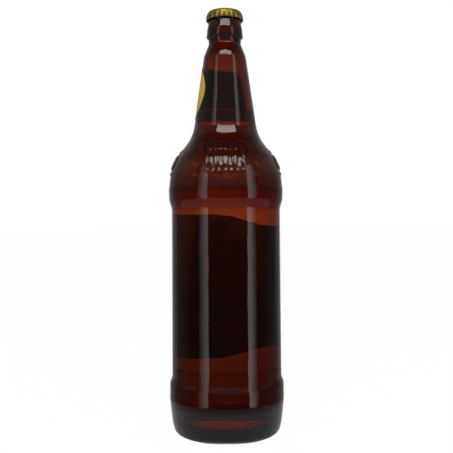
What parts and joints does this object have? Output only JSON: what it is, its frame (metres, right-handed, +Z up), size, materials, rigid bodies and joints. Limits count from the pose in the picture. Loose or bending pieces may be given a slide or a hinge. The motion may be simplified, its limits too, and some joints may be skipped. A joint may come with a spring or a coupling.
{
  "type": "bottle",
  "caption": "Sealed one-litre amber glass bottle with paper labels, its contents, and a crown cap with sealing liner that lifts off",
  "frame": {"origin": "centre of the base, on the surface the bottle stands on", "axes": "+Z up along the bottle's axis; the front, where both labels are centred, faces -Y"},
  "size_m": [0.0874, 0.0874, 0.3199],
  "materials": {
    "amber_glass": "smooth blown amber glass, moulded ornament round the shoulder, stippled base",
    "drink": null,
    "label_paper": "printed paper, golden yellow with a dark brown border",
    "gold_tinplate": "gold lacquer on thin tinplate, faintly speckled",
    "liner_polymer": "soft pale sealing compound"
  },
  "bodies": {
    "bottle": {"glass_bottle": "amber_glass", "drink": "drink", "neck_label": "label_paper", "body_label": "label_paper"},
    "cap": {"crown_shell": "gold_tinplate", "crown_liner": "liner_polymer"}
  },
  "joints": [
    {"name": "cap_lift", "type": "slide", "parent": "bottle", "child": "cap", "axis": [0, 0, 1], "range_m": [0, 0.05]}
  ]
}
